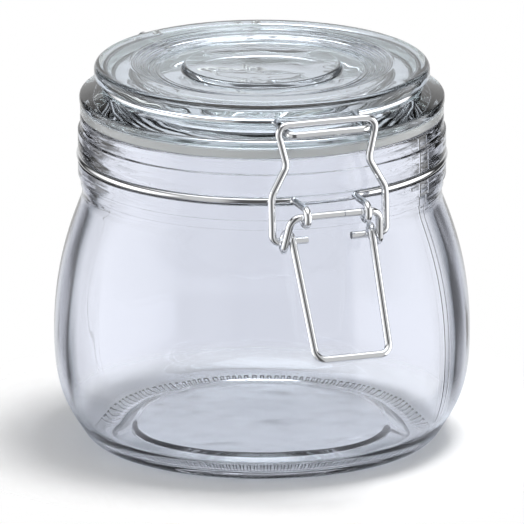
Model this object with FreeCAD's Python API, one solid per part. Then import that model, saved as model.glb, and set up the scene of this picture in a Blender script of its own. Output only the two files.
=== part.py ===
"""A half-litre clip-top jar: glass body and lid, rubber ring, and four pieces of bent wire.

Millimetres. +Z is up, the origin is the middle of the foot, the clip faces -Y and the hinge +Y.
"""
import FreeCAD, Part

import math
import os

from FreeCAD import Vector

# Body of the jar, outside
BODY_R = 55.0  # widest place of the belly
BELLY_Z = 29.2  # height of the widest place
RECESS_R = 32.8  # flat middle of the underside, which is pushed up
RECESS_H = 2.6  # how far it is pushed up
RECESS_ROUND = 2.5
BEARING_R = 38.6  # inner edge of the ring that the jar stands on
FOOT_R = 42.2  # outer edge of that ring
HEEL_ROUND = 6.0
HEEL_LEAN = 33.0  # lean of the wall above the heel, degrees from upright
HEEL_REACH = 9.0  # how far the belly's curve carries on along that lean
BELLY_DROP = 15.0  # how far it carries on straight down from the widest place
BELLY_RISE = 17.5  # and straight up from it
SHOULDER_R = 48.2
SHOULDER_Z = 64.2
SHOULDER_LEAN = 20.7  # lean of the wall where the shoulder ends, degrees from upright
SHOULDER_REACH = 6.5

# Body of the jar, inside
WALL = 3.8
FLOOR_T = 3.2  # glass of the floor, which follows the underside
FLOOR_R = 39.5  # where the floor ends and the wall's curve begins
FLOOR_REACH = 8.5  # how far the floor's line carries on into the wall
INNER_DROP = 16.0  # how far the inner wall's line carries on down from the widest place
MOUTH_R = 42.8

# Neck, in heights above the shoulder
NECK_R = 47.5
STEP_R = 47.9  # the shallow band under the lower rib
STEP_H = 5.0
RIB_R = 48.6
RIB_H = 7.7  # underside of the lower rib
WIRE_H = 13.0  # middle of the wire groove between the ribs
BAND_H = 20.0  # top of the upper rib
FINISH_R = 48.0
RIM_H = 24.3  # top of the glass
RIM_ROUND = 0.9
EDGE_ROUND = 0.35

# Wire
WIRE_R = 1.0
GROOVE_GAP = 0.15  # clearance of a wire in its groove
NECK_WIRE_R = 48.0  # radius of the neck wire's ring, to the middle of the wire
LID_WIRE_R = 41.8
EYE_GAP = 0.2  # clearance of a wire in an eye bent round it
BEND_R = 2.0  # tight bends
RING_BEND = 1.7  # where a wire turns into or out of its ring

# Rubber ring
RING_INNER_R = 39.6
RING_OUTER_R = 48.0
RING_T = 2.5
RING_ROUND = 0.5
RING_GAP = 0.1  # clearance above the rim

# Lid, in heights above its underside
FLANGE_R = 48.2
FLANGE_H = 2.4  # height of the flange's edge
FLANGE_ROUND = 0.9
SLOPE_H = 4.6  # top of the flange, beside the wire groove
LID_WIRE_H = 5.9
DISC_R = 44.3
DISC_LIP_H = 7.3  # underside of the disc's edge
DISC_LIP_ROUND = 0.7
TOP_H = 10.9
TOP_ROUND = 1.7
DISH_R = 34.2  # where the flat rim falls away into the dish
DISH_EDGE_ROUND = 4.0
DISH_FLOOR_R = 29.0
DISH_FLOOR_H = 8.9
DISH_ROUND = 6.0
KNOB_ROOT_R = 20.9
KNOB_ROOT_H = 9.4
KNOB_ROOT_ROUND = 0.5
KNOB_R = 20.4
KNOB_H = 10.7
KNOB_ROUND = 0.4
KNOB_TOP_R = 15.0  # the shallow hollow in the top of the knob
KNOB_HOLLOW = 0.7
KNOB_EDGE_DROP = 0.0875  # below the knob's edge, where the hollow's curve begins
PLUG_R = 39.3  # the plug that fits inside the rubber ring
PLUG_DEPTH = 3.2
PLUG_ROUND = 1.0
PLUG_INNER_R = 34.5
CEILING_H = 3.0
CEILING_ROUND = 2.0

# Clip, at the front
HOOK_X = 8.4  # the neck wire's two hooks
HOOK_TURN = 265.0
HOOK_LEAD = 1.8  # straight wire between the ring and a hook's bend
PIVOT_Y = 56.2  # the lever's crossbar, out from the jar's axis
CRANK_OUT = -4.6  # from the crossbar to the lever's eyes, outwards
CRANK_DOWN = 7.5  # and downwards
CROSSBAR_BEND = 3.0
CROSSBAR_SETBACK = 0.8  # share of that radius that the bend takes up along the crossbar
CROSSBAR_JOINT_X = 2.4  # where the ends of the lever's wire meet
CROSSBAR_JOINT_GAP = 0.2
HOOK_CLEAR = 0.4  # between a hook and the crossbar's bend
EYE_OUTER_X = 13.4  # where the crank arm enters its eye
EYE_PITCH = 2.4  # sideways step of one turn of the eye
EYE_SEGMENTS = 9
GRIP_LEAN = 29.5  # lean of the grip, degrees from upright
GRIP_LENGTH = 33.0  # from the eyes to the far bar
GRIP_END_X = 10.2
GRIP_CORNER = 2.7
BAIL_TOP_OUT = -2.1  # from the eyes to the bail's top bar, outwards
WAIST_X = 11.4
WAIST_DOWN = 10.8  # below the top bar
WAIST_BEND = 3.4
HIP_X = 15.8
HIP_DOWN = 18.6
HIP_BEND = 4.5
BAIL_END_X = 6.1  # inner ends of the bail's wire
BAIL_SEAT_GAP = 0.2  # between the bail's top bar and the arms that it lies on, and beside them

# Lid wire's front loop, which the bail's top bar lies across
LOOP_X = 11.0
LOOP_PAST = 2.1  # its end bar, further out than the bail's top bar
LOOP_DROP = 1.0  # its end bar, below the ring
LOOP_LEAD = 1.5  # straight wire between the ring and the loop's bend

# Hinge, at the back
HINGE_Y = 53.6
HINGE_EYE_X = 14.0
HINGE_BAR_X = 18.5
HINGE_CORNER = 2.5
HINGE_LEAD = 1.5
HINGE_HOOK_TURN = 255.0
HINGE_SEGMENTS = 7

# Arcs that follow on from each other stop just short, so that a short straight run joins them
NEARLY_ROUND = 0.99  # share of the groove's radius
EYE_NEARLY_ROUND = 0.995  # share of an eye's radius
HEEL_RUN = 0.01  # straight run that ends the heel's arc

RIM_Z = SHOULDER_Z + RIM_H
WIRE_Z = SHOULDER_Z + WIRE_H
LID_Z = RIM_Z + RING_GAP + RING_T
LID_WIRE_Z = LID_Z + LID_WIRE_H
EYE_R = 2 * WIRE_R + EYE_GAP
GROOVE_R = WIRE_R + GROOVE_GAP
PIVOT_Z = WIRE_Z - EYE_R
BAIL_EYE_Y = PIVOT_Y + CRANK_OUT
BAIL_EYE_Z = PIVOT_Z - CRANK_DOWN
BAIL_TOP_Y = BAIL_EYE_Y + BAIL_TOP_OUT
BAIL_TOP_BEND = 2 * (WIRE_R + BAIL_SEAT_GAP)
BAIL_TOP_X = LOOP_X + 3 * WIRE_R
LOOP_OUT = BAIL_TOP_Y + LOOP_PAST


def sin(degrees):
    return math.sin(math.radians(degrees))


def cos(degrees):
    return math.cos(math.radians(degrees))


def tan(degrees):
    return math.tan(math.radians(degrees))


def rounded_edges(points):
    """Straight runs joined by tangent arcs. points holds (place, bend radius), the ends' radii unused."""
    edges, last = [], points[0][0]
    for (before, _), (corner, radius), (after, _) in zip(points, points[1:], points[2:]):
        back = (before - corner).normalize()
        on = (after - corner).normalize()
        half_turn = (math.pi - back.getAngle(on)) / 2
        setback = radius * math.tan(half_turn)
        start, end = corner + back * setback, corner + on * setback
        middle = (back + on).normalize()
        top = corner + middle * (radius / math.cos(half_turn) - radius)
        if last.distanceToPoint(start) > 1e-6:
            edges.append(Part.LineSegment(last, start).toShape())
        edges.append(Part.Arc(start, top, end).toShape())
        last = end
    edges.append(Part.LineSegment(last, points[-1][0]).toShape())
    return edges


def bezier_edge(start, start_handle, end_handle, end):
    curve = Part.BezierCurve()
    curve.setPoles([start, start_handle, end_handle, end])
    return curve.toShape()


def revolved(edges):
    """The solid that a profile in the XZ plane, with both ends on the axis, sweeps round it."""
    ends = [edges[-1].lastVertex().Point, edges[0].firstVertex().Point]
    closing = [] if ends[0].distanceToPoint(ends[1]) < 1e-6 else [Part.makeLine(*ends)]
    profile = Part.Wire(Part.__sortEdges__(edges + closing))
    turned = Part.Face(profile).revolve(Vector(0, 0, 0), Vector(0, 0, 1), 360)
    return turned if turned.ShapeType == "Solid" else Part.Solid(turned)


def bent_wire(points):
    """A round wire along straight runs and tangent arcs, with its length checked against its volume."""
    path = Part.Wire(rounded_edges(points))
    start = points[0][0]
    section = Part.Wire(Part.makeCircle(WIRE_R, start, points[1][0] - start))
    solid = path.makePipeShell([section], True, False)
    expected = path.Length * math.pi * WIRE_R**2
    if not solid.isValid() or abs(solid.Volume / expected - 1) > 0.01:
        raise ValueError(f"a wire came out wrong: {solid.Volume:.1f} mm3 for {expected:.1f}")
    return solid


def mirrored(points):
    """The same points on the other side of the YZ plane, in the opposite order."""
    return [(Vector(-place.x, place.y, place.z), radius) for place, radius in reversed(points)]


def at(r, z):
    return Vector(r, 0, z)


def outward(x, out, z):
    """A place at the front, given how far out from the jar's axis it is."""
    return Vector(x, -out, z)


def eye_points(centre, first_angle, turn, segments, shift=0.0):
    """The corners of an eye round an axis along X, from the angle first_angle, with its bend radius.

    Angles are in the plane seen from -X, from outwards (-Y) towards up, and the turn runs clockwise.
    shift is how far along X the turn moves.
    """
    step = turn / segments
    reach = EYE_R / cos(step / 2)
    points = []
    for n in range(segments):
        angle = first_angle - (n + 0.5) * step
        x = centre.x + shift * (n + 0.5) / segments
        place = Vector(x, centre.y - reach * cos(angle), centre.z + reach * sin(angle))
        points.append((place, EYE_R * EYE_NEARLY_ROUND))
    return points


def eye_end(centre, angle):
    """Where the middle of an eye's wire is at an angle."""
    return Vector(centre.x, centre.y - EYE_R * cos(angle), centre.z + EYE_R * sin(angle))


def ring_point(radius, from_front, to_back, z):
    """The corner of the arc of a ring on the -X side, between two angles from the front."""
    half = (to_back - from_front) / 2
    middle, reach = from_front + half, radius / cos(half)
    return Vector(-reach * sin(middle), -reach * cos(middle), z)


def front_angle(radius, x, lead):
    """The angle at which a ring ends, so that a straight lead from there reaches x."""
    base = math.degrees(math.atan2(lead, radius))
    return math.degrees(math.asin(x / math.hypot(radius, lead))) + base


def leave_ring(radius, x, lead, z, side=-1):
    """Where a wire that leaves a ring after a straight lead bends at -x; side -1 is the front."""
    angle = front_angle(radius, x, lead)
    away = radius * cos(angle) + lead * sin(angle)
    return angle, Vector(-x, side * away, z)


def make_jar():
    heel_turn = 90 - HEEL_LEAN
    heel_setback = HEEL_ROUND * tan(heel_turn / 2)
    heel_corner = at(FOOT_R + heel_setback, 0)
    heel_direction = at(sin(HEEL_LEAN), cos(HEEL_LEAN))
    heel_top = heel_corner + heel_direction * heel_setback
    widest = at(BODY_R, BELLY_Z)
    shoulder = at(SHOULDER_R, SHOULDER_Z)
    shoulder_direction = at(-sin(SHOULDER_LEAN), cos(SHOULDER_LEAN))
    neck_low = shoulder + shoulder_direction * ((SHOULDER_R - NECK_R) / sin(SHOULDER_LEAN))

    foot = rounded_edges([
        (at(0, RECESS_H), 0),
        (at(RECESS_R, RECESS_H), RECESS_ROUND),
        (at(BEARING_R, 0), RECESS_ROUND),
        (heel_corner, HEEL_ROUND),
        (heel_top + heel_direction * HEEL_RUN, 0),
    ])[:-1]
    belly = [
        bezier_edge(heel_top, heel_top + heel_direction * HEEL_REACH, widest - at(0, BELLY_DROP), widest),
        bezier_edge(widest, widest + at(0, BELLY_RISE),
                    shoulder - shoulder_direction * SHOULDER_REACH, shoulder),
    ]
    groove_floor = NECK_WIRE_R - GROOVE_R
    inner_shoulder = at(SHOULDER_R - WALL, SHOULDER_Z)
    inner_neck = inner_shoulder + shoulder_direction * (
        (inner_shoulder.x - MOUTH_R) / sin(SHOULDER_LEAN))
    neck = rounded_edges([
        (shoulder, 0),
        (neck_low, HEEL_ROUND),
        (at(NECK_R, SHOULDER_Z + STEP_H), EDGE_ROUND / 2),
        (at(STEP_R, SHOULDER_Z + STEP_H), EDGE_ROUND / 2),
        (at(STEP_R, SHOULDER_Z + RIB_H), EDGE_ROUND / 2),
        (at(RIB_R, SHOULDER_Z + RIB_H), EDGE_ROUND),
        (at(RIB_R, WIRE_Z - GROOVE_R), EDGE_ROUND),
        (at(groove_floor, WIRE_Z - GROOVE_R), GROOVE_R * NEARLY_ROUND),
        (at(groove_floor, WIRE_Z + GROOVE_R), GROOVE_R * NEARLY_ROUND),
        (at(RIB_R, WIRE_Z + GROOVE_R), EDGE_ROUND),
        (at(RIB_R, SHOULDER_Z + BAND_H), EDGE_ROUND),
        (at(FINISH_R, SHOULDER_Z + BAND_H + EDGE_ROUND), EDGE_ROUND),
        (at(FINISH_R, RIM_Z), RIM_ROUND),
        (at(MOUTH_R, RIM_Z), RIM_ROUND),
        (inner_neck, HEEL_ROUND),
        (inner_shoulder, 0),
    ])
    inner_widest = at(BODY_R - WALL, BELLY_Z)
    floor_edge = at(FLOOR_R, FLOOR_T)
    inside = [
        bezier_edge(inner_shoulder, inner_shoulder - shoulder_direction * SHOULDER_REACH,
                    inner_widest + at(0, BELLY_RISE), inner_widest),
        bezier_edge(inner_widest, inner_widest - at(0, INNER_DROP),
                    floor_edge + at(FLOOR_REACH, 0), floor_edge),
    ]
    floor = rounded_edges([
        (floor_edge, 0),
        (at(BEARING_R, FLOOR_T), RECESS_ROUND),
        (at(RECESS_R, RECESS_H + FLOOR_T), RECESS_ROUND),
        (at(0, RECESS_H + FLOOR_T), 0),
    ])
    return revolved(foot + belly + neck + inside + floor)


def make_lid():
    groove_floor = LID_WIRE_R - GROOVE_R
    groove_mouth = LID_WIRE_R + GROOVE_R
    profile = rounded_edges([
        (at(0, LID_Z + CEILING_H), 0),
        (at(PLUG_INNER_R, LID_Z + CEILING_H), CEILING_ROUND),
        (at(PLUG_INNER_R, LID_Z - PLUG_DEPTH), PLUG_ROUND),
        (at(PLUG_R, LID_Z - PLUG_DEPTH), PLUG_ROUND),
        (at(PLUG_R, LID_Z), EDGE_ROUND / 2),
        (at(FLANGE_R, LID_Z), FLANGE_ROUND),
        (at(FLANGE_R, LID_Z + FLANGE_H), FLANGE_ROUND),
        (at(groove_mouth, LID_Z + SLOPE_H), EDGE_ROUND / 2),
        (at(groove_mouth - EDGE_ROUND, LID_WIRE_Z - GROOVE_R), EDGE_ROUND / 2),
        (at(groove_floor, LID_WIRE_Z - GROOVE_R), GROOVE_R * NEARLY_ROUND),
        (at(groove_floor, LID_WIRE_Z + GROOVE_R), GROOVE_R * NEARLY_ROUND),
        (at(groove_mouth, LID_WIRE_Z + GROOVE_R), EDGE_ROUND / 2),
        (at(DISC_R, LID_Z + DISC_LIP_H), DISC_LIP_ROUND),
        (at(DISC_R, LID_Z + TOP_H), TOP_ROUND),
        (at(DISH_R, LID_Z + TOP_H), DISH_EDGE_ROUND),
        (at(DISH_FLOOR_R, LID_Z + DISH_FLOOR_H), DISH_ROUND),
        (at(KNOB_ROOT_R, LID_Z + KNOB_ROOT_H), KNOB_ROOT_ROUND),
        (at(KNOB_R, LID_Z + KNOB_H), KNOB_ROUND),
        (at(KNOB_TOP_R, LID_Z + KNOB_H - KNOB_EDGE_DROP), KNOB_TOP_R),
        (at(0, LID_Z + KNOB_H - KNOB_HOLLOW), 0),
    ])
    return revolved(profile)


def make_gasket():
    low, high = RIM_Z + RING_GAP, LID_Z
    corners = [at(RING_INNER_R, low), at(RING_OUTER_R, low), at(RING_OUTER_R, high), at(RING_INNER_R, high)]
    start = at((RING_INNER_R + RING_OUTER_R) / 2, low)
    points = [(start, 0)] + [(corner, RING_ROUND) for corner in corners[1:] + corners[:1]] + [(start, 0)]
    return revolved(rounded_edges(points))


def make_neck_wire():
    """One wire: hook, ring, hinge bar at the back, ring, hook."""
    centre = outward(-HOOK_X, PIVOT_Y, PIVOT_Z)
    front, corner = leave_ring(NECK_WIRE_R, HOOK_X, HOOK_LEAD, WIRE_Z)
    back, back_corner = leave_ring(NECK_WIRE_R, HINGE_BAR_X, HINGE_LEAD, WIRE_Z, side=1)
    hook = eye_points(centre, 90, HOOK_TURN, EYE_SEGMENTS)
    half = [(eye_end(centre, 90 - HOOK_TURN), 0)] + hook[::-1] + [
        (corner, RING_BEND),
        (ring_point(NECK_WIRE_R, front, 180 - back, WIRE_Z), NECK_WIRE_R),
        (back_corner, RING_BEND),
        (Vector(-HINGE_BAR_X, HINGE_Y, WIRE_Z), HINGE_CORNER),
    ]
    return bent_wire(half + mirrored(half))


def make_lid_wire():
    """One wire: eye on the hinge bar, arm, ring, front loop, ring, arm, eye."""
    centre = Vector(-HINGE_EYE_X, HINGE_Y, WIRE_Z)
    front, corner = leave_ring(LID_WIRE_R, LOOP_X, LOOP_LEAD, LID_WIRE_Z)
    back, back_corner = leave_ring(LID_WIRE_R, HINGE_EYE_X, HINGE_LEAD, LID_WIRE_Z, side=1)
    # the arm comes down behind the bar, turns under it and up in front
    hook = [(Vector(p.x, 2 * HINGE_Y - p.y, p.z), radius)
            for p, radius in eye_points(centre, 0, HINGE_HOOK_TURN, HINGE_SEGMENTS)]
    end = eye_end(centre, -HINGE_HOOK_TURN)
    end = Vector(end.x, 2 * HINGE_Y - end.y, end.z)
    half = [(end, 0)] + hook[::-1] + [
        (Vector(-HINGE_EYE_X, HINGE_Y + EYE_R, LID_WIRE_Z), HINGE_CORNER),
        (back_corner, RING_BEND),
        (ring_point(LID_WIRE_R, front, 180 - back, LID_WIRE_Z), LID_WIRE_R),
        (corner, RING_BEND),
        (outward(-LOOP_X, LOOP_OUT, LID_WIRE_Z - LOOP_DROP), BEND_R),
    ]
    return bent_wire(half + mirrored(half))


def lever_half(joint_x):
    """Half of the lever on the -X side, from the crossbar's joint to the grip's far corner."""
    bend_x = HOOK_X + WIRE_R + HOOK_CLEAR + CROSSBAR_BEND * CROSSBAR_SETBACK
    centre = outward(-EYE_OUTER_X, BAIL_EYE_Y, BAIL_EYE_Z)
    crank = math.hypot(CRANK_OUT, CRANK_DOWN)
    arrive = math.degrees(math.atan2(CRANK_DOWN, -CRANK_OUT)) - math.degrees(math.acos(EYE_R / crank))
    turn = 360 + arrive - GRIP_LEAN
    grip_out, grip_z = GRIP_LENGTH * sin(GRIP_LEAN), GRIP_LENGTH * cos(GRIP_LEAN)
    on_circle_out, on_circle_z = EYE_R * cos(GRIP_LEAN), EYE_R * sin(GRIP_LEAN)
    return [
        (outward(-joint_x, PIVOT_Y, PIVOT_Z), 0),
        (outward(-bend_x, PIVOT_Y, PIVOT_Z), CROSSBAR_BEND),
    ] + eye_points(centre, arrive, turn, EYE_SEGMENTS, EYE_PITCH) + [
        (outward(-GRIP_END_X, BAIL_EYE_Y + on_circle_out + grip_out,
                 BAIL_EYE_Z + on_circle_z - grip_z), GRIP_CORNER),
    ]


def make_lever():
    """One wire: the crossbar's joint, crank, eye, grip, eye, crank and back to the joint."""
    left = lever_half(-CROSSBAR_JOINT_X + CROSSBAR_JOINT_GAP / 2)
    right = lever_half(CROSSBAR_JOINT_X + CROSSBAR_JOINT_GAP / 2)
    return bent_wire(left + mirrored(right))


def make_bail():
    """One wire: the end that turns in the lever's eye, leg, hip, waist, top bar and the same back."""
    half = [
        (outward(-BAIL_END_X, BAIL_EYE_Y, BAIL_EYE_Z), 0),
        (outward(-HIP_X, BAIL_EYE_Y, BAIL_EYE_Z), BEND_R),
        (bail_place(HIP_X, HIP_DOWN), HIP_BEND),
        (bail_place(WAIST_X, WAIST_DOWN), WAIST_BEND),
        (bail_place(BAIL_TOP_X, 0), BAIL_TOP_BEND),
    ]
    return bent_wire(half + mirrored(half))


def bail_top_z():
    """The top bar's height: on the arms of the lid wire's loop, which slope down outwards."""
    _, corner = leave_ring(LID_WIRE_R, LOOP_X, LOOP_LEAD, LID_WIRE_Z)
    share = (BAIL_TOP_Y + corner.y) / (LOOP_OUT + corner.y)
    return LID_WIRE_Z - LOOP_DROP * share + 2 * WIRE_R + BAIL_SEAT_GAP


def bail_place(x, down):
    """A place on the bail's -X leg, down below the top bar along the line to the eyes."""
    top_z = bail_top_z()
    share = down / (top_z - BAIL_EYE_Z)
    return outward(-x, BAIL_TOP_Y - BAIL_TOP_OUT * share, top_z - down)


PIECES = {
    "jar": make_jar,
    "gasket": make_gasket,
    "lid": make_lid,
    "neck_wire": make_neck_wire,
    "lid_wire": make_lid_wire,
    "lever": make_lever,
    "bail": make_bail,
}


def main():
    os.makedirs("parts", exist_ok=True)
    for node, make in PIECES.items():
        solid = make()
        solid.exportStep(os.path.join("parts", node + ".step"))
        box = solid.BoundBox
        print(f"{node}: {solid.Volume / 1000:.2f} cm3, z {box.ZMin:.2f} to {box.ZMax:.2f},",
              f"y {box.YMin:.2f} to {box.YMax:.2f}, valid {solid.isValid()}")


main()
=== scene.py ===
"""A clip-top jar on a pale floor: clear glass body and lid, a rubber ring and bright wires."""

import logging
import math
from dataclasses import dataclass
from enum import Enum
from typing import Sequence

import bpy
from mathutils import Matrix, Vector

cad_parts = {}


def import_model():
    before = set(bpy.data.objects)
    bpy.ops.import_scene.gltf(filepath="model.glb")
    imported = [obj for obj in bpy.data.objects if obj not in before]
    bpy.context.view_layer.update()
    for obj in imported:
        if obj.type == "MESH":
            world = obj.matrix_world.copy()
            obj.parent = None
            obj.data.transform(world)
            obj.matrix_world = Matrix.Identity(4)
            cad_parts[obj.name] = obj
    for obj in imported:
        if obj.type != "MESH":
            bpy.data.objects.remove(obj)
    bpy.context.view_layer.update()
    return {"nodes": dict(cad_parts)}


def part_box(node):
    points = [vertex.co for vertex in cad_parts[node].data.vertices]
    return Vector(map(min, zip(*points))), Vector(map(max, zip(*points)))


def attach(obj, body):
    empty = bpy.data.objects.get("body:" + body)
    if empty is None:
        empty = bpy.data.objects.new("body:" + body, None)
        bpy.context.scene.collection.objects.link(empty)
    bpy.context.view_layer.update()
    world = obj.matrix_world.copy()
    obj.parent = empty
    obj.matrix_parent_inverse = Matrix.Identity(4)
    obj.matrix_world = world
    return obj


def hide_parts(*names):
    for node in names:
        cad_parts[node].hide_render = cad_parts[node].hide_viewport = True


LOG = logging.getLogger("scene")
MM = 0.001
STEPS_ROUND = 216  # faces in one turn round the upright axis
ARC_STEP = math.radians(9.0)  # turn from one point of a rounded corner to the next
SAME_PLACE = 0.004  # millimetres within which two points of a profile count as one
MERGE_WITHIN = 2e-6  # metres within which the points of a swept mesh are joined

Color = tuple[float, float, float]
Range = tuple[float, float]
Socket = bpy.types.NodeSocket


class Slot(Enum):
    """Material slots of the record."""

    GLASS_BODY = "glass_body"
    GLASS_LID = "glass_lid"
    RING = "ring"
    WIRE = "wire"


class Body(Enum):
    """Moving bodies of the model that pieces ride on."""

    JAR = "jar"
    LID = "lid"


# ---------------------------------------------------------------------------
# Shader graphs


class Graph:
    """Adds nodes to one node tree and joins them."""

    def __init__(self, tree: bpy.types.NodeTree) -> None:
        """Keeps the node tree that nodes are added to."""
        self.tree = tree

    def add(self, kind: str, inputs: dict | None = None, **settings: object) -> bpy.types.Node:
        """Adds a node.

        Args:
            kind: The node's type name.
            inputs: Values or sockets for its inputs, by name or number.
            settings: Values for the node's own properties.

        Returns:
            The new node.
        """
        node = self.tree.nodes.new(kind)
        for name, value in settings.items():
            setattr(node, name, value)
        for key, value in (inputs or {}).items():
            self.give(node.inputs[key], value)
        return node

    def give(self, socket: Socket, value: object) -> None:
        """Sets an input to a value, or joins an output to it.

        Args:
            socket: The input.
            value: A number, a tuple or an output socket.
        """
        if isinstance(value, Socket):
            self.tree.links.new(value, socket)
        else:
            socket.default_value = value

    def math(self, operation: str, *values: object) -> Socket:
        """Adds a maths node with numbers or sockets as its inputs, and gives its output."""
        return self.add("ShaderNodeMath", dict(enumerate(values)), operation=operation).outputs[0]

    def chain(self, operation: str, *values: object) -> Socket:
        """Takes values together two by two, as a product, a sum or the largest.

        Args:
            operation: The maths node's operation.
            values: Two or more numbers or sockets.

        Returns:
            The result.
        """
        result = values[0]
        for value in values[1:]:
            result = self.math(operation, result, value)
        return result

    def ramp(self, value: object, low: float, high: float, start: float = 0.0,
             end: float = 1.0) -> Socket:
        """Maps a range smoothly onto another.

        Args:
            value: The value to map.
            low: Where the range begins.
            high: Where it ends.
            start: The result at low.
            end: The result at high.

        Returns:
            The mapped value.
        """
        node = self.add("ShaderNodeMapRange", {"Value": value, "From Min": low, "From Max": high,
                                               "To Min": start, "To Max": end},
                        interpolation_type="SMOOTHSTEP")
        return node.outputs["Result"]

    def blend(self, share: Socket, first: object, second: object) -> Socket:
        """Mixes two colours.

        Args:
            share: How much of the second shows.
            first: Red, green and blue, or a socket.
            second: The same.

        Returns:
            The mixed colour.
        """
        colors = [value if isinstance(value, Socket) else (*value, 1.0) for value in (first, second)]
        node = self.add("ShaderNodeMix", {0: share, 6: colors[0], 7: colors[1]}, data_type="RGBA")
        return node.outputs[2]

    def effect(self, group: bpy.types.NodeTree, **inputs: float) -> Socket:
        """Places a shared node group with its own values, and gives the group's output."""
        return self.add("ShaderNodeGroup", inputs, node_tree=group).outputs[0]

    def place(self) -> tuple[Socket, Socket, Socket]:
        """Adds the object's own coordinates and gives X, Y and Z in metres."""
        return self.split(self.add("ShaderNodeTexCoord").outputs["Object"])

    def split(self, vector: Socket) -> tuple[Socket, Socket, Socket]:
        """Splits a vector into its three parts."""
        return tuple(self.add("ShaderNodeSeparateXYZ", {0: vector}).outputs)

    def radius(self, x: Socket, y: Socket) -> Socket:
        """Works out the distance from the upright axis."""
        return self.math("SQRT", self.math("ADD", self.math("MULTIPLY", x, x), self.math("MULTIPLY", y, y)))


class GroupGraph(Graph):
    """The inside of a shader node group with one output."""

    def __init__(self, name: str, output: str, inputs: dict[str, float]) -> None:
        """Starts the group.

        Args:
            name: The group's name.
            output: The name of its output, a number.
            inputs: Default numbers of its inputs, by name.
        """
        super().__init__(bpy.data.node_groups.new(name, "ShaderNodeTree"))
        for label, default in inputs.items():
            socket = self.tree.interface.new_socket(label, in_out="INPUT", socket_type="NodeSocketFloat")
            socket.default_value = default
        self.tree.interface.new_socket(output, in_out="OUTPUT", socket_type="NodeSocketFloat")
        self.source = self.add("NodeGroupInput").outputs
        self.sink = self.add("NodeGroupOutput").inputs


class Effects:
    """Shader node groups, each made once and shared by the finishes that use it."""

    RIPPLE_FINENESS = 3.1  # of the quick ripples beside the slow wave
    RIPPLE_SHARE = 0.18
    MOTTLE_EDGE = (0.35, 0.65)

    def __init__(self) -> None:
        """Makes every group."""
        self.wave = self.make_wave()
        self.mottle = self.make_mottle()

    def make_wave(self) -> bpy.types.NodeTree:
        """Makes the slow unevenness of pressed glass.

        Returns:
            A group with the output Height, and Size and Stretch as inputs.
        """
        graph = GroupGraph("Pressed glass wave", "Height", {"Size": 60.0, "Stretch": 0.35})
        size, stretch = graph.source["Size"], graph.source["Stretch"]
        x, y, z = graph.place()
        flat = graph.add("ShaderNodeCombineXYZ", {0: x, 1: y, 2: graph.math("MULTIPLY", z, stretch)})
        slow = graph.add("ShaderNodeTexNoise", {"Vector": flat.outputs[0], "Scale": size,
                                                "Detail": 1.0, "Roughness": 0.4})
        fine_size = graph.math("MULTIPLY", size, self.RIPPLE_FINENESS)
        quick = graph.add("ShaderNodeTexNoise", {"Vector": flat.outputs[0], "Scale": fine_size,
                                                 "Detail": 0.0})
        height = graph.math("MULTIPLY_ADD", quick.outputs[0], self.RIPPLE_SHARE, slow.outputs[0])
        graph.give(graph.sink["Height"], height)
        return graph.tree

    def make_mottle(self) -> bpy.types.NodeTree:
        """Makes a fine mottle for the roughness of drawn or moulded surfaces.

        Returns:
            A group with the output Mask, and Size as input.
        """
        graph = GroupGraph("Fine mottle", "Mask", {"Size": 900.0})
        place = graph.add("ShaderNodeTexCoord").outputs["Object"]
        noise = graph.add("ShaderNodeTexNoise", {"Vector": place, "Scale": graph.source["Size"],
                                                 "Detail": 2.0, "Roughness": 0.6})
        graph.give(graph.sink["Mask"], graph.ramp(noise.outputs[0], *self.MOTTLE_EDGE))
        return graph.tree


def new_material(name: str) -> tuple[bpy.types.Material, Graph, bpy.types.Node]:
    """Starts a material with a Principled shader.

    Args:
        name: The material's name.

    Returns:
        The material, its graph and its shader node.
    """
    material = bpy.data.materials.new(name)
    material.use_nodes = True
    material.node_tree.nodes.clear()
    graph = Graph(material.node_tree)
    shader = graph.add("ShaderNodeBsdfPrincipled")
    out = graph.add("ShaderNodeOutputMaterial", {"Surface": shader.outputs[0]})
    out.is_active_output = True
    return material, graph, shader


# ---------------------------------------------------------------------------
# Marks that the mould leaves in glass, in metres


@dataclass(frozen=True)
class Streaks:
    """Level streaks where the glass was pressed between the neck's rings."""

    above: float
    fade: float = 0.006
    strength: float = 1.8
    size: float = 45.0
    stretch: float = 8.0

    def height(self, graph: Graph, effects: Effects) -> Socket:
        """Adds the streaks.

        Args:
            graph: The material's graph.
            effects: The shared node groups.

        Returns:
            Their height.
        """
        wave = graph.effect(effects.wave, Size=self.size, Stretch=self.stretch)
        _, _, z = graph.place()
        where = graph.ramp(z, self.above, self.above + self.fade, 0.0, self.strength)
        return graph.math("MULTIPLY", wave, where)


@dataclass(frozen=True)
class FineRings:
    """Fine rings round the axis on a top face."""

    inner: float
    outer: float
    above: float
    pitch: float = 0.0013
    fade: float = 0.001
    strength: float = 0.4

    def height(self, graph: Graph) -> Socket:
        """Adds the rings.

        Args:
            graph: The material's graph.

        Returns:
            Their height.
        """
        x, y, z = graph.place()
        radius = graph.radius(x, y)
        wave = graph.math("SINE", graph.math("MULTIPLY", radius, 2 * math.pi / self.pitch))
        return graph.chain("MULTIPLY", graph.ramp(radius, self.inner, self.inner + self.fade),
                           graph.ramp(z, self.above, self.above + self.fade),
                           graph.ramp(radius, self.outer - self.fade, self.outer, self.strength, 0.0), wave)


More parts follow.
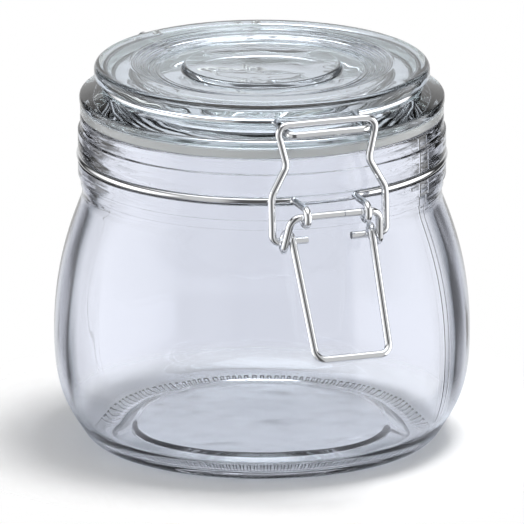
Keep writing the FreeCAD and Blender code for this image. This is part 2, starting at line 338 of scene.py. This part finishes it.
@dataclass(frozen=True)
class FootRibs:
    """Short radial ribs round the foot."""

    inner: float
    outer: float
    top: float
    count: int = 150
    depth: float = 0.0006
    fade: float = 0.0006
    top_fade: float = 0.2
    flank: Range = (-0.3, 0.7)

    def height(self, graph: Graph) -> Socket:
        """Adds the ribs.

        Args:
            graph: The material's graph.

        Returns:
            Their height, from 0 to 1.
        """
        x, y, z = graph.place()
        radius = graph.radius(x, y)
        turn = graph.math("MULTIPLY", graph.math("ARCTAN2", x, y), float(self.count))
        ribs = graph.ramp(graph.math("SINE", turn), *self.flank)
        return graph.chain("MULTIPLY", graph.ramp(radius, self.inner, self.inner + self.fade),
                           graph.ramp(radius, self.outer - self.fade, self.outer, 1.0, 0.0),
                           graph.ramp(z, self.top * (1.0 - self.top_fade), self.top, 1.0, 0.0), ribs)


@dataclass(frozen=True)
class Seam:
    """The fine upright line that the two halves of the mould leave on both sides."""

    angle: float
    depth: float = 0.00004
    half_width: float = 0.0005
    start: Range = (0.008, 0.012)

    def height(self, graph: Graph) -> Socket:
        """Adds the line.

        Args:
            graph: The material's graph.

        Returns:
            Its height, from 0 to 1.
        """
        x, y, z = graph.place()
        across = graph.math("ADD", graph.math("MULTIPLY", x, math.cos(self.angle)),
                            graph.math("MULTIPLY", y, math.sin(self.angle)))
        line = graph.ramp(graph.math("ABSOLUTE", across), 0.0, self.half_width, 1.0, 0.0)
        return graph.math("MULTIPLY", line, graph.ramp(z, *self.start))


# ---------------------------------------------------------------------------
# Finishes


@dataclass(frozen=True)
class Glass:
    """Clear pressed glass, with the mould's marks, and painted shade at its grazing edges."""

    name: str
    tint: Color
    # painted shade: the darker green-grey the glass turns where it is seen edge-on, for its dark outlines
    edge: Color = (0.5, 0.58, 0.61)
    painted_edge_shade_facing: Range = (0.68, 0.97)
    index: float = 1.52
    wave_size: float = 55.0
    wave_stretch: float = 0.3
    wave_height: float = 0.00026
    streaks: Streaks | None = None
    rings: FineRings | None = None
    ribs: FootRibs | None = None
    seam: Seam | None = None

    def make(self, effects: Effects) -> bpy.types.Material:
        """Makes the material.

        Args:
            effects: The shared node groups.

        Returns:
            The material.
        """
        material, graph, shader = new_material(self.name)
        facing = graph.add("ShaderNodeLayerWeight", {"Blend": 0.5}).outputs["Facing"]
        # Painted shade: the colour darkens towards the grazing edges, where the glass shows dark outlines
        color = graph.blend(graph.ramp(facing, *self.painted_edge_shade_facing), self.tint, self.edge)
        graph.give(shader.inputs["Base Color"], color)
        graph.give(shader.inputs["Roughness"], 0.0)
        graph.give(shader.inputs["IOR"], self.index)
        graph.give(shader.inputs["Transmission Weight"], 1.0)
        graph.give(shader.inputs["Normal"], self.relief(graph, effects))
        return material

    def relief(self, graph: Graph, effects: Effects) -> Socket:
        """Adds the unevenness and the marks, one bump over the other.

        Args:
            graph: The material's graph.
            effects: The shared node groups.

        Returns:
            The surface's normal.
        """
        height = graph.effect(effects.wave, Size=self.wave_size, Stretch=self.wave_stretch)
        if self.streaks:
            height = graph.math("ADD", height, self.streaks.height(graph, effects))
        if self.rings:
            height = graph.math("ADD", height, self.rings.height(graph))
        bump = graph.add("ShaderNodeBump", {"Strength": 1.0, "Distance": self.wave_height,
                                            "Height": height})
        for mark in (self.ribs, self.seam):
            if mark:
                bump = graph.add("ShaderNodeBump", {"Strength": 1.0, "Distance": mark.depth,
                                                    "Height": mark.height(graph),
                                                    "Normal": bump.outputs[0]})
        return bump.outputs[0]


@dataclass(frozen=True)
class Rubber:
    """Pale, slightly see-through rubber."""

    name: str = "Sealing rubber"
    color: Color = (0.95, 0.965, 0.96)
    index: float = 1.45
    through: float = 0.4
    roughness: Range = (0.16, 0.2)

    def make(self, effects: Effects) -> bpy.types.Material:
        """Makes the material.

        Args:
            effects: The shared node groups.

        Returns:
            The material.
        """
        material, graph, shader = new_material(self.name)
        graph.give(shader.inputs["Base Color"], (*self.color, 1.0))
        graph.give(shader.inputs["IOR"], self.index)
        graph.give(shader.inputs["Transmission Weight"], self.through)
        rough = graph.ramp(graph.effect(effects.mottle), 0.0, 1.0, *self.roughness)
        graph.give(shader.inputs["Roughness"], rough)
        return material


@dataclass(frozen=True)
class BrightWire:
    """Bright drawn steel wire."""

    name: str = "Bright wire"
    color: Color = (0.82, 0.83, 0.85)
    mottle_size: float = 1500.0
    roughness: Range = (0.05, 0.12)

    def make(self, effects: Effects) -> bpy.types.Material:
        """Makes the material.

        Args:
            effects: The shared node groups.

        Returns:
            The material.
        """
        material, graph, shader = new_material(self.name)
        graph.give(shader.inputs["Base Color"], (*self.color, 1.0))
        graph.give(shader.inputs["Metallic"], 1.0)
        mottle = graph.effect(effects.mottle, Size=self.mottle_size)
        graph.give(shader.inputs["Roughness"], graph.ramp(mottle, 0.0, 1.0, *self.roughness))
        return material


@dataclass(frozen=True)
class FloorPaint:
    """Matt white that fades out into the backdrop; to rays other than the camera's, mostly those through
    glass, it has painted shade and a painted light under the foot.
    """

    name: str = "White floor"
    color: Color = (0.9, 0.9, 0.9)
    # painted shade: a darker, bluer floor for every ray but the camera's
    painted_shade_through_glass: Color = (0.64, 0.66, 0.72)
    # painted light: a paler floor under the foot, standing in for the light that comes down through the
    # jar's base
    painted_light_under_foot: Color = (0.95, 0.96, 0.98)
    foot_edge: Range = (0.04, 0.052)
    fade: Range = (0.062, 0.1)
    roughness: float = 0.9

    def make(self) -> bpy.types.Material:
        """Makes the material.

        Returns:
            The material.
        """
        material, graph, shader = new_material(self.name)
        path = graph.add("ShaderNodeLightPath").outputs
        x, y, _ = graph.place()
        radius = graph.radius(x, y)
        # Painted light under the foot and painted shade around it, shown to every ray but the camera's
        inside = graph.ramp(radius, *self.foot_edge, 1.0, 0.0)
        painted_light_and_shade = graph.blend(inside, self.painted_shade_through_glass, self.painted_light_under_foot)
        graph.give(shader.inputs["Base Color"], graph.blend(path["Is Camera Ray"], painted_light_and_shade, self.color))
        graph.give(shader.inputs["Roughness"], self.roughness)
        graph.give(shader.inputs["Specular IOR Level"], 0.0)
        graph.give(shader.inputs["Alpha"], graph.ramp(radius, *self.fade, 1.0, 0.0))
        return material


# ---------------------------------------------------------------------------
# Shapes, in millimetres


@dataclass(frozen=True)
class Corner:
    """A corner of a profile: radius and height, and the bend that rounds it."""

    r: float
    z: float
    bend: float = 0.0


class Profile:
    """A line in the plane of radius and height, made of runs, rounded corners and curves."""

    def __init__(self) -> None:
        """Starts with no points."""
        self.points: list[Vector] = []

    def put(self, point: Vector) -> None:
        """Adds a point, radius and height, unless it repeats the last."""
        if not self.points or (point - self.points[-1]).length > SAME_PLACE:
            self.points.append(point)

    def run(self, corners: Sequence[Corner]) -> None:
        """Adds straight runs between corners, with arcs where a corner has a bend.

        Args:
            corners: The corners in order, the first and last without a bend.
        """
        places = [Vector((corner.r, corner.z)) for corner in corners]
        self.put(places[0])
        for before, corner, place, after in zip(places, corners[1:], places[1:], places[2:]):
            back, on = (before - place).normalized(), (after - place).normalized()
            turn = math.pi - back.angle(on)
            setback = corner.bend * math.tan(turn / 2)
            if setback < SAME_PLACE:
                self.put(place)
                continue
            centre = place + (back + on).normalized() * (corner.bend / math.cos(turn / 2))
            start, end = place + back * setback - centre, place + on * setback - centre
            count = max(2, math.ceil(turn / ARC_STEP))
            for n in range(count + 1):
                share = n / count
                spoke = start * math.sin((1 - share) * turn) + end * math.sin(share * turn)
                self.put(centre + spoke / math.sin(turn))
        self.put(places[-1])

    def curve(self, start: Vector, leave: Vector, arrive: Vector, end: Vector, count: int = 22) -> None:
        """Adds a Bezier curve.

        Args:
            start: Its start.
            leave: Its start's handle.
            arrive: Its end's handle.
            end: Its end.
            count: How many runs stand for it.
        """
        for n in range(count + 1):
            t = n / count
            s = 1 - t
            self.put(start * s**3 + leave * (3 * s * s * t) + arrive * (3 * s * t * t) + end * t**3)

    def spin(self, name: str, closed: bool) -> bpy.types.Object:
        """Sweeps the line round the upright axis.

        Args:
            name: The new object's name.
            closed: Whether the line's end joins its start, for a ring.

        Returns:
            The closed, smooth-shaded object.
        """
        bpy.ops.object.select_all(action="DESELECT")
        bpy.ops.mesh.primitive_plane_add(size=MM)
        piece = bpy.context.object
        piece.name = piece.data.name = name
        bpy.ops.object.mode_set(mode="EDIT")
        bpy.ops.mesh.select_all(action="SELECT")
        bpy.ops.mesh.merge(type="CENTER")
        first = self.points[0]
        bpy.ops.transform.translate(value=(first.x * MM, 0, first.y * MM))
        for before, after in zip(self.points, self.points[1:]):
            step = after - before
            bpy.ops.mesh.extrude_vertices_move(
                TRANSFORM_OT_translate={"value": (step.x * MM, 0, step.y * MM)})
        if closed:
            bpy.ops.mesh.select_all(action="SELECT")
            bpy.ops.mesh.remove_doubles(threshold=MERGE_WITHIN)
        bpy.ops.mesh.select_all(action="SELECT")
        bpy.ops.mesh.spin(steps=STEPS_ROUND, angle=2 * math.pi, center=(0, 0, 0), axis=(0, 0, 1))
        bpy.ops.mesh.select_all(action="SELECT")
        bpy.ops.mesh.remove_doubles(threshold=MERGE_WITHIN)
        bpy.ops.mesh.normals_make_consistent(inside=False)
        bpy.ops.object.mode_set(mode="OBJECT")
        bpy.ops.object.shade_smooth()
        return piece


def dress(piece: bpy.types.Object, material: bpy.types.Material) -> None:
    """Gives a piece its finish.

    Args:
        piece: The piece.
        material: Its material.
    """
    piece.data.materials.clear()
    piece.data.materials.append(material)
    LOG.info("%s: %d faces, %s", piece.name, len(piece.data.polygons), material.name)


def leaning(degrees: float) -> Vector:
    """Gives the unit direction, radius and height, of a wall that leans outwards from upright."""
    return Vector((math.sin(math.radians(degrees)), math.cos(math.radians(degrees))))


@dataclass
class JarGlass:
    """The jar's body, from the middle of its underside round to the middle of its floor."""

    wall: float = 3.8
    recess_r: float = 32.8
    recess_h: float = 2.6
    recess_round: float = 2.5
    bearing_r: float = 38.6
    foot_r: float = 42.2
    heel_round: float = 6.0
    heel_lean: float = 33.0
    heel_run: float = 0.01  # a short straight in which the heel's arc can end
    heel_reach: float = 9.0
    widest_z: float = 29.2
    belly_reach_down: float = 15.0
    belly_reach_up: float = 17.5
    shoulder_r: float = 48.2
    shoulder_drop: float = 24.3
    shoulder_lean: float = -20.7
    shoulder_reach: float = 6.5
    neck_r: float = 47.5
    neck_round: float = 6.0
    step_r: float = 47.9
    step_h: float = 5.0
    rib_r: float = 48.6
    rib_h: float = 7.7
    rib_top_h: float = 20.0
    rib_round: float = 0.35
    rib_slope_h: float = 0.35
    wire_h: float = 13.0
    groove_r: float = 1.15
    groove_round: float = 1.13
    wire_ring_r: float = 48.0
    mouth_r: float = 42.8
    rim_round: float = 0.9
    fine_round: float = 0.18
    floor_t: float = 3.2
    floor_r: float = 39.5
    floor_reach: float = 8.5
    inner_reach_down: float = 16.0

    def outside(self, line: Profile, widest: Vector, shoulder: Vector) -> None:
        """Draws the underside, the heel and the belly up to the shoulder.

        Args:
            line: The section's line.
            widest: The belly's widest place.
            shoulder: The shoulder's lower edge.
        """
        lean, rise = leaning(self.heel_lean), leaning(self.shoulder_lean)
        setback = self.heel_round * math.tan(math.radians(90 - self.heel_lean) / 2)
        heel_corner = Vector((self.foot_r + setback, 0))
        heel_top = heel_corner + lean * setback
        line.run([Corner(0, self.recess_h), Corner(self.recess_r, self.recess_h, self.recess_round),
                  Corner(self.bearing_r, 0, self.recess_round), Corner(*heel_corner, self.heel_round),
                  Corner(*(heel_top + lean * self.heel_run))])
        line.curve(heel_top, heel_top + lean * self.heel_reach,
                   widest - Vector((0, self.belly_reach_down)), widest)
        line.curve(widest, widest + Vector((0, self.belly_reach_up)),
                   shoulder - rise * self.shoulder_reach, shoulder)

    def neck(self, line: Profile, top: float, shoulder: Vector, inner: Vector) -> None:
        """Draws the shoulder, the neck's steps, rib and groove, the rim and the mouth.

        Args:
            line: The section's line.
            top: The rim's height.
            shoulder: The shoulder's lower edge.
            inner: The same edge on the inside of the wall.
        """
        rise, base = leaning(self.shoulder_lean), shoulder.y
        neck = shoulder + rise * ((self.shoulder_r - self.neck_r) / -rise.x)
        inner_neck = inner + rise * ((inner.x - self.mouth_r) / -rise.x)
        step, rib, rib_top = base + self.step_h, base + self.rib_h, base + self.rib_top_h
        groove = self.wire_ring_r - self.groove_r
        low, high = base + self.wire_h - self.groove_r, base + self.wire_h + self.groove_r
        line.run([
            Corner(*shoulder), Corner(*neck, self.neck_round),
            Corner(self.neck_r, step, self.fine_round), Corner(self.step_r, step, self.fine_round),
            Corner(self.step_r, rib, self.fine_round), Corner(self.rib_r, rib, self.rib_round),
            Corner(self.rib_r, low, self.rib_round), Corner(groove, low, self.groove_round),
            Corner(groove, high, self.groove_round), Corner(self.rib_r, high, self.rib_round),
            Corner(self.rib_r, rib_top, self.rib_round),
            Corner(self.wire_ring_r, rib_top + self.rib_slope_h, self.rib_round),
            Corner(self.wire_ring_r, top, self.rim_round), Corner(self.mouth_r, top, self.rim_round),
            Corner(*inner_neck, self.neck_round), Corner(*inner)])

    def inside(self, line: Profile, inner: Vector, inner_widest: Vector) -> None:
        """Draws the inside of the wall and the floor, which follows the underside.

        Args:
            line: The section's line.
            inner: The shoulder's lower edge on the inside.
            inner_widest: The widest place inside.
        """
        rise = leaning(self.shoulder_lean)
        floor_edge = Vector((self.floor_r, self.floor_t))
        line.curve(inner, inner - rise * self.shoulder_reach,
                   inner_widest + Vector((0, self.belly_reach_up)), inner_widest)
        line.curve(inner_widest, inner_widest - Vector((0, self.inner_reach_down)),
                   floor_edge + Vector((self.floor_reach, 0)), floor_edge)
        floor_h = self.recess_h + self.floor_t
        line.run([Corner(*floor_edge), Corner(self.bearing_r, self.floor_t, self.recess_round),
                  Corner(self.recess_r, floor_h, self.recess_round), Corner(0, floor_h)])

    def profile(self, belly: float, top: float) -> Profile:
        """Draws the section.

        Args:
            belly: The widest radius.
            top: The rim's height.

        Returns:
            The section's line.
        """
        line = Profile()
        base = top - self.shoulder_drop
        shoulder, inner = Vector((self.shoulder_r, base)), Vector((self.shoulder_r - self.wall, base))
        self.outside(line, Vector((belly, self.widest_z)), shoulder)
        self.neck(line, top, shoulder, inner)
        self.inside(line, inner, Vector((belly - self.wall, self.widest_z)))
        return line

    def build(self) -> bpy.types.Object:
        """Makes the body to the frame's width and height.

        Returns:
            The piece, riding on the jar.
        """
        low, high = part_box("jar")
        piece = self.profile((high[0] - low[0]) / 2 / MM, high[2] / MM).spin("jar_body", closed=False)
        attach(piece, Body.JAR.value)
        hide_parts("jar")
        return piece


@dataclass
class LidGlass:
    """The lid, from the middle of its underside round to the middle of its knob.

    Heights are above the flange's underside.
    """

    hollow_r: float = 34.5
    hollow_h: float = 3.0
    hollow_round: float = 2.0
    plug_r: float = 39.3
    plug_depth: float = 3.2
    plug_round: float = 1.0
    flange_r: float = 48.2
    flange_h: float = 2.4
    flange_round: float = 0.9
    slope_h: float = 4.6
    wire_ring_r: float = 41.8
    wire_h: float = 5.9
    groove_r: float = 1.15
    groove_round: float = 1.13
    groove_lip: float = 0.35
    fine_round: float = 0.18
    disc_r: float = 44.3
    disc_h: float = 7.3
    disc_round: float = 0.7
    top_h: float = 10.9
    top_round: float = 1.7
    dish_r: float = 34.2
    dish_edge_round: float = 4.0
    dish_floor_r: float = 29.0
    dish_floor_h: float = 8.9
    dish_round: float = 6.0
    knob_root_r: float = 21.2
    knob_root_h: float = 9.2
    knob_root_round: float = 0.8
    knob_r: float = 20.4
    knob_h: float = 10.6
    knob_round: float = 0.7
    knob_top_r: float = 15.0
    knob_top_h: float = 10.51
    knob_top_round: float = 15.0
    knob_middle_h: float = 9.9

    def underside(self) -> list[Corner]:
        """Gives the corners from the middle of the underside out to the flange.

        Returns:
            The corners.
        """
        return [
            Corner(0, self.hollow_h), Corner(self.hollow_r, self.hollow_h, self.hollow_round),
            Corner(self.hollow_r, -self.plug_depth, self.plug_round),
            Corner(self.plug_r, -self.plug_depth, self.plug_round),
            Corner(self.plug_r, 0, self.fine_round), Corner(self.flange_r, 0, self.flange_round)]

    def side(self) -> list[Corner]:
        """Gives the corners from the flange over the wire's groove to the disc.

        Returns:
            The corners.
        """
        groove, mouth = self.wire_ring_r - self.groove_r, self.wire_ring_r + self.groove_r
        low, high = self.wire_h - self.groove_r, self.wire_h + self.groove_r
        return [
            Corner(self.flange_r, self.flange_h, self.flange_round),
            Corner(mouth, self.slope_h, self.fine_round),
            Corner(mouth - self.groove_lip, low, self.fine_round),
            Corner(groove, low, self.groove_round), Corner(groove, high, self.groove_round),
            Corner(mouth, high, self.fine_round), Corner(self.disc_r, self.disc_h, self.disc_round)]

    def top(self) -> list[Corner]:
        """Gives the corners from the disc's edge over the dish to the middle of the knob.

        Returns:
            The corners.
        """
        return [
            Corner(self.disc_r, self.top_h, self.top_round),
            Corner(self.dish_r, self.top_h, self.dish_edge_round),
            Corner(self.dish_floor_r, self.dish_floor_h, self.dish_round),
            Corner(self.knob_root_r, self.knob_root_h, self.knob_root_round),
            Corner(self.knob_r, self.knob_h, self.knob_round),
            Corner(self.knob_top_r, self.knob_top_h, self.knob_top_round),
            Corner(0, self.knob_middle_h)]

    def build(self) -> bpy.types.Object:
        """Makes the lid at the frame's height.

        Returns:
            The piece, riding on the lid.
        """
        low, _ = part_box("lid")
        flange = low[2] / MM + self.plug_depth
        corners = self.underside() + self.side() + self.top()
        line = Profile()
        line.run([Corner(corner.r, flange + corner.z, corner.bend) for corner in corners])
        piece = line.spin("lid_glass", closed=False)
        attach(piece, Body.LID.value)
        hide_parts("lid")
        return piece


@dataclass
class SealingRing:
    """The rubber ring between the rim and the lid."""

    inner_r: float = 39.6
    edge_round: float = 0.5

    def build(self) -> bpy.types.Object:
        """Makes the ring to the frame's size.

        Returns:
            The piece, riding on the lid.
        """
        low, high = (Vector(corner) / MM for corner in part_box("gasket"))
        outer = (high.x - low.x) / 2
        middle = (self.inner_r + outer) / 2
        line = Profile()
        line.run([Corner(middle, low.z), Corner(outer, low.z, self.edge_round),
                  Corner(outer, high.z, self.edge_round), Corner(self.inner_r, high.z, self.edge_round),
                  Corner(self.inner_r, low.z, self.edge_round), Corner(middle, low.z)])
        piece = line.spin("sealing_ring", closed=True)
        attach(piece, Body.LID.value)
        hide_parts("gasket")
        return piece


@dataclass
class Clip:
    """The four bent wires, shown as they are in the frame."""

    nodes: dict[str, bpy.types.Object]
    wires: tuple[str, ...] = ("neck_wire", "lid_wire", "lever", "bail")

    def finish(self, material: bpy.types.Material) -> None:
        """Gives every wire the wire's material."""
        for name in self.wires:
            dress(self.nodes[name], material)


# ---------------------------------------------------------------------------
# Studio, in metres and degrees


@dataclass(frozen=True)
class Level:
    """How bright a part of the studio is to mirrored rays and to rays through glass."""

    mirrored: float
    through: float

    def pick(self, graph: Graph, through: Socket) -> Socket:
        """Picks the level that suits the ray: through is 1 for a ray through glass, else 0."""
        return graph.math("MULTIPLY_ADD", through, self.through - self.mirrored, self.mirrored)


@dataclass
class Studio:
    """White floor, light by direction for the glass and wires, one soft lamp, and the camera.

    Directions of the light are parts of a unit vector: across to the camera's right, towards
    the camera, and z upwards.
    """

    azimuth: float = -20.0
    elevation: float = 15.7
    distance: float = 5.77
    lens: float = 1500.0
    sensor: float = 36.0
    aim_height: float = 0.0472
    floor_size: float = 0.4
    top_z: Range = (0.65, 0.97)
    top: Level = Level(2.0, 6.5)
    left_across: Range = (-1.0, -0.6)
    right_across: Range = (0.74, 0.84)
    panel_z: Range = (0.35, 0.6)
    panel: Level = Level(1.8, 1.15)
    back_beside: Range = (0.3, 0.55)
    back_towards: Range = (-0.5, 0.0)
    back_z: Range = (0.3, 0.55)
    back_level: float = 0.74
    front_towards: Range = (0.4, 0.85)
    front_through: float = 0.25
    sheen_towards: Range = (0.1, 0.5)
    sheen_beside: Range = (0.2, 0.45)
    sheen_level: Range = (0.06, 0.6)
    dark: Level = Level(0.04, 0.13)
    tint: Color = (0.86, 0.885, 1.0)
    even_level: float = 0.58
    lamp_turn: float = 105.0
    lamp_elevation: float = 77.0
    lamp_distance: float = 0.9
    lamp_size: float = 0.3
    lamp_power: float = 5.9

    def floor(self) -> None:
        """Lays the floor just under the foot."""
        bpy.ops.object.select_all(action="DESELECT")
        bpy.ops.mesh.primitive_plane_add(size=self.floor_size, location=(0, 0, 0))
        plane = bpy.context.object
        plane.name = "Floor"
        plane.data.materials.append(FloorPaint().make())

    def brightness(self, graph: Graph, through: Socket) -> Socket:
        """Works out what a mirrored ray or a ray through glass meets in its direction.

        Above is bright. At both sides stand bright panels, and a broad pale screen stands
        behind. Rays through glass meet a faint glow in front. Mirrored rays meet a brighter one
        there with a dark upright middle. All the rest is dark.

        Args:
            graph: The world's graph.
            through: 1 for a ray that comes through glass, else 0.

        Returns:
            The brightness.
        """
        x, y, z = graph.split(graph.add("ShaderNodeTexCoord").outputs["Generated"])
        turn = math.radians(self.azimuth)
        across = graph.math("ADD", graph.math("MULTIPLY", x, math.cos(turn)),
                            graph.math("MULTIPLY", y, math.sin(turn)))
        towards = graph.math("ADD", graph.math("MULTIPLY", x, math.sin(turn)),
                             graph.math("MULTIPLY", y, -math.cos(turn)))
        beside = graph.math("ABSOLUTE", across)
        above = graph.math("MULTIPLY", graph.ramp(z, *self.top_z), self.top.pick(graph, through))
        sides = graph.math("ADD", graph.ramp(across, *self.right_across),
                           graph.ramp(across, *self.left_across, 1.0, 0.0))
        panels = graph.chain("MULTIPLY", sides, self.panel.pick(graph, through),
                             graph.ramp(z, *self.panel_z, 1.0, 0.0))
        behind = graph.chain("MULTIPLY", graph.ramp(beside, *self.back_beside, 1.0, 0.0),
                             graph.ramp(towards, *self.back_towards, self.back_level, 0.0),
                             graph.ramp(z, *self.back_z, 1.0, 0.0))
        glow = graph.ramp(towards, *self.front_towards, 0.0, self.front_through)
        sheen = graph.math("MULTIPLY", graph.ramp(towards, *self.sheen_towards),
                           graph.ramp(beside, *self.sheen_beside, *self.sheen_level))
        front = graph.math("MULTIPLY_ADD", through, graph.math("SUBTRACT", glow, sheen), sheen)
        lit = graph.chain("MAXIMUM", above, panels, behind, front)
        return graph.math("ADD", lit, self.dark.pick(graph, through))

    def world(self) -> None:
        """Makes a white backdrop, even light on matt things, and the studio in glass and wires."""
        world = bpy.data.worlds.new("Studio")
        bpy.context.scene.world = world
        world.use_nodes = True
        world.node_tree.nodes.clear()
        graph = Graph(world.node_tree)
        path = graph.add("ShaderNodeLightPath").outputs
        through = path["Is Transmission Ray"]
        white = (1.0, 1.0, 1.0)
        even = graph.add("ShaderNodeBackground", {"Color": (*white, 1.0), "Strength": self.even_level})
        studio = graph.add("ShaderNodeBackground", {"Color": graph.blend(through, white, self.tint),
                                                    "Strength": self.brightness(graph, through)})
        plain = graph.add("ShaderNodeBackground", {"Color": (*white, 1.0), "Strength": 1.0})
        shown = graph.math("MAXIMUM", path["Is Glossy Ray"], through)
        light = graph.add("ShaderNodeMixShader", {0: shown, 1: even.outputs[0], 2: studio.outputs[0]})
        mix = graph.add("ShaderNodeMixShader", {0: path["Is Camera Ray"], 1: light.outputs[0],
                                                2: plain.outputs[0]})
        graph.add("ShaderNodeOutputWorld", {"Surface": mix.outputs[0]})

    @staticmethod
    def direction(azimuth: float, elevation: float) -> Vector:
        """Gives the unit direction of a place, in degrees round from the front and above level."""
        turn, lift = math.radians(azimuth), math.radians(elevation)
        return Vector((math.sin(turn) * math.cos(lift), -math.cos(turn) * math.cos(lift), math.sin(lift)))

    def lamp(self) -> None:
        """Hangs the soft lamp that gives the floor its shadow and stays out of reflections."""
        away = self.direction(self.azimuth + self.lamp_turn, self.lamp_elevation)
        bpy.ops.object.light_add(type="AREA", location=away * self.lamp_distance)
        lamp = bpy.context.object
        lamp.name = "Softbox"
        lamp.data.shape = "SQUARE"
        lamp.data.size = self.lamp_size
        lamp.data.energy = self.lamp_power
        lamp.rotation_euler = away.to_track_quat("Z", "Y").to_euler()
        lamp.visible_glossy = lamp.visible_transmission = False

    def camera(self) -> None:
        """Places the camera."""
        back = self.direction(self.azimuth, self.elevation)
        bpy.ops.object.camera_add(location=back * self.distance + Vector((0, 0, self.aim_height)))
        camera = bpy.context.object
        camera.data.lens = self.lens
        camera.data.sensor_width = self.sensor
        camera.rotation_euler = back.to_track_quat("Z", "Y").to_euler()
        bpy.context.scene.camera = camera
        bpy.context.scene.view_settings.view_transform = "Standard"

    def build(self) -> None:
        """Makes the floor, the light and the camera."""
        self.floor()
        self.world()
        self.lamp()
        self.camera()


def main() -> None:
    """Builds every piece, dresses it and sets up the studio."""
    logging.basicConfig(level=logging.INFO, format="%(message)s")
    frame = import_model()
    effects = Effects()
    body_glass = Glass("Body glass", (0.98, 0.987, 0.99), streaks=Streaks(above=0.065),
                       ribs=FootRibs(inner=0.0385, outer=0.046, top=0.0022),
                       seam=Seam(angle=math.radians(44.0)))
    lid_glass = Glass("Lid glass", (0.84, 0.89, 0.875), wave_size=60.0, wave_stretch=1.0,
                      wave_height=0.00022, rings=FineRings(inner=0.0265, outer=0.0352, above=0.097))
    dress(JarGlass().build(), body_glass.make(effects))
    dress(LidGlass().build(), lid_glass.make(effects))
    dress(SealingRing().build(), Rubber().make(effects))
    Clip(frame["nodes"]).finish(BrightWire().make(effects))
    Studio().build()


if __name__ == "__main__":
    main()
